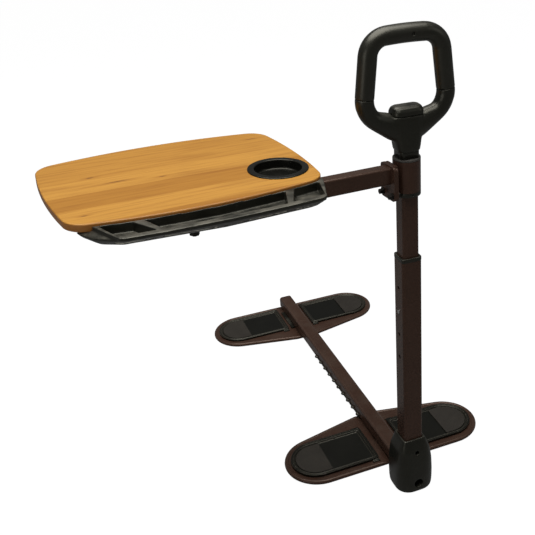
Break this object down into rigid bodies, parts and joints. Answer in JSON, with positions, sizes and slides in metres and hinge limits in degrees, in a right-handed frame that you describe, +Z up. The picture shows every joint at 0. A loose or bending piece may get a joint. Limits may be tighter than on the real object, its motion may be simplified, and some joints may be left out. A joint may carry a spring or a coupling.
{
  "type": "couch standing aid",
  "caption": "Free-standing couch standing aid: a floor frame held down by the couch legs, a post set for height with a loop handle, and a swivelling tray with cup holder and organiser.",
  "frame": {"origin": "where the post axis meets the floor", "axes": "+Z up along the post, +Y back along the base bar under the couch, +X to the right seen from the front"},
  "size_m": [0.8422, 0.9656, 0.965],
  "materials": {
    "frame_paint": "satin bronze powder coat",
    "black_plastic": "fine moulded grain",
    "pad_plastic": "satin",
    "grey_grip": "matte with fine grain",
    "floor_rubber": "matte",
    "soft_grip": "soft matte",
    "grey_bush": "satin",
    "bright_steel": "plated",
    "dark_bolts": "black oxide",
    "board_wood": "lacquered plank board"
  },
  "bodies": {
    "base": {"base_bar": "frame_paint", "bar_end_cap": "frame_paint", "bar_front_plug": "bright_steel", "length_rack": "black_plastic", "front_foot_plate": "frame_paint", "front_plate_bolts": "dark_bolts", "front_plate_nuts": "bright_steel", "front_left_leg_pad": "pad_plastic", "front_right_leg_pad": "pad_plastic", "front_left_grip": "grey_grip", "front_right_grip": "grey_grip", "front_floor_pads": "floor_rubber", "post_boot": "black_plastic", "boot_floor_pad": "floor_rubber", "boot_screw": "dark_bolts", "post_bolt": "dark_bolts", "lower_post": "frame_paint", "post_bushing": "black_plastic"},
    "rear_foot": {"rear_foot_plate": "frame_paint", "rear_left_leg_pad": "pad_plastic", "rear_right_leg_pad": "pad_plastic", "rear_left_grip": "grey_grip", "rear_right_grip": "grey_grip", "rear_floor_pads": "floor_rubber", "bar_guides": "black_plastic", "slide_block": "grey_bush", "slide_bolts": "dark_bolts"},
    "upper_post": {"upper_post": "frame_paint", "post_guide_plug": "black_plastic", "catch_spring": "bright_steel", "lower_swivel_bush": "black_plastic", "upper_swivel_bush": "grey_bush", "bush_screws": "dark_bolts", "post_top_plug": "bright_steel", "handle_hub": "black_plastic", "hub_cap": "black_plastic", "hub_bolt": "dark_bolts", "handle_core": "bright_steel", "handle_grip": "soft_grip"},
    "left_button": {"left_button": "bright_steel"},
    "right_button": {"right_button": "bright_steel"},
    "tray_arm": {"swivel_collar": "frame_paint", "collar_bracket": "frame_paint", "arm_plate": "frame_paint", "arm_bolts": "dark_bolts", "arm_nuts": "dark_bolts", "arm_tube": "frame_paint", "arm_end_cap": "black_plastic", "tray_brackets": "frame_paint", "tray_stud": "dark_bolts", "tray_nut": "dark_bolts", "tray_screws": "dark_bolts", "tray_board": "board_wood", "cup_holder": "black_plastic", "organiser": "black_plastic", "organiser_screws": "dark_bolts"}
  },
  "joints": [
    {"name": "base_length", "type": "slide", "parent": "base", "child": "rear_foot", "axis": [0, 1, 0], "range_m": [-0.27, 0]},
    {"name": "handle_height", "type": "slide", "parent": "base", "child": "upper_post", "axis": [0, 0, 1], "range_m": [-0.1016, 0.0508], "deforming": ["left_button", "right_button", "catch_spring"]},
    {"name": "left_button_press", "type": "slide", "parent": "upper_post", "child": "left_button", "axis": [1, 0, 0], "range_m": [0, 0.005], "stiffness_N_per_m": 1500, "springref_m": -0.002, "deforming": ["catch_spring"]},
    {"name": "right_button_press", "type": "slide", "parent": "upper_post", "child": "right_button", "axis": [-1, 0, 0], "range_m": [0, 0.005], "stiffness_N_per_m": 1500, "springref_m": -0.002, "deforming": ["catch_spring"]},
    {"name": "tray_swivel", "type": "hinge", "parent": "upper_post", "child": "tray_arm", "pos_m": [0, 0, 0.7], "axis": [0, 0, 1], "continuous": true}
  ]
}
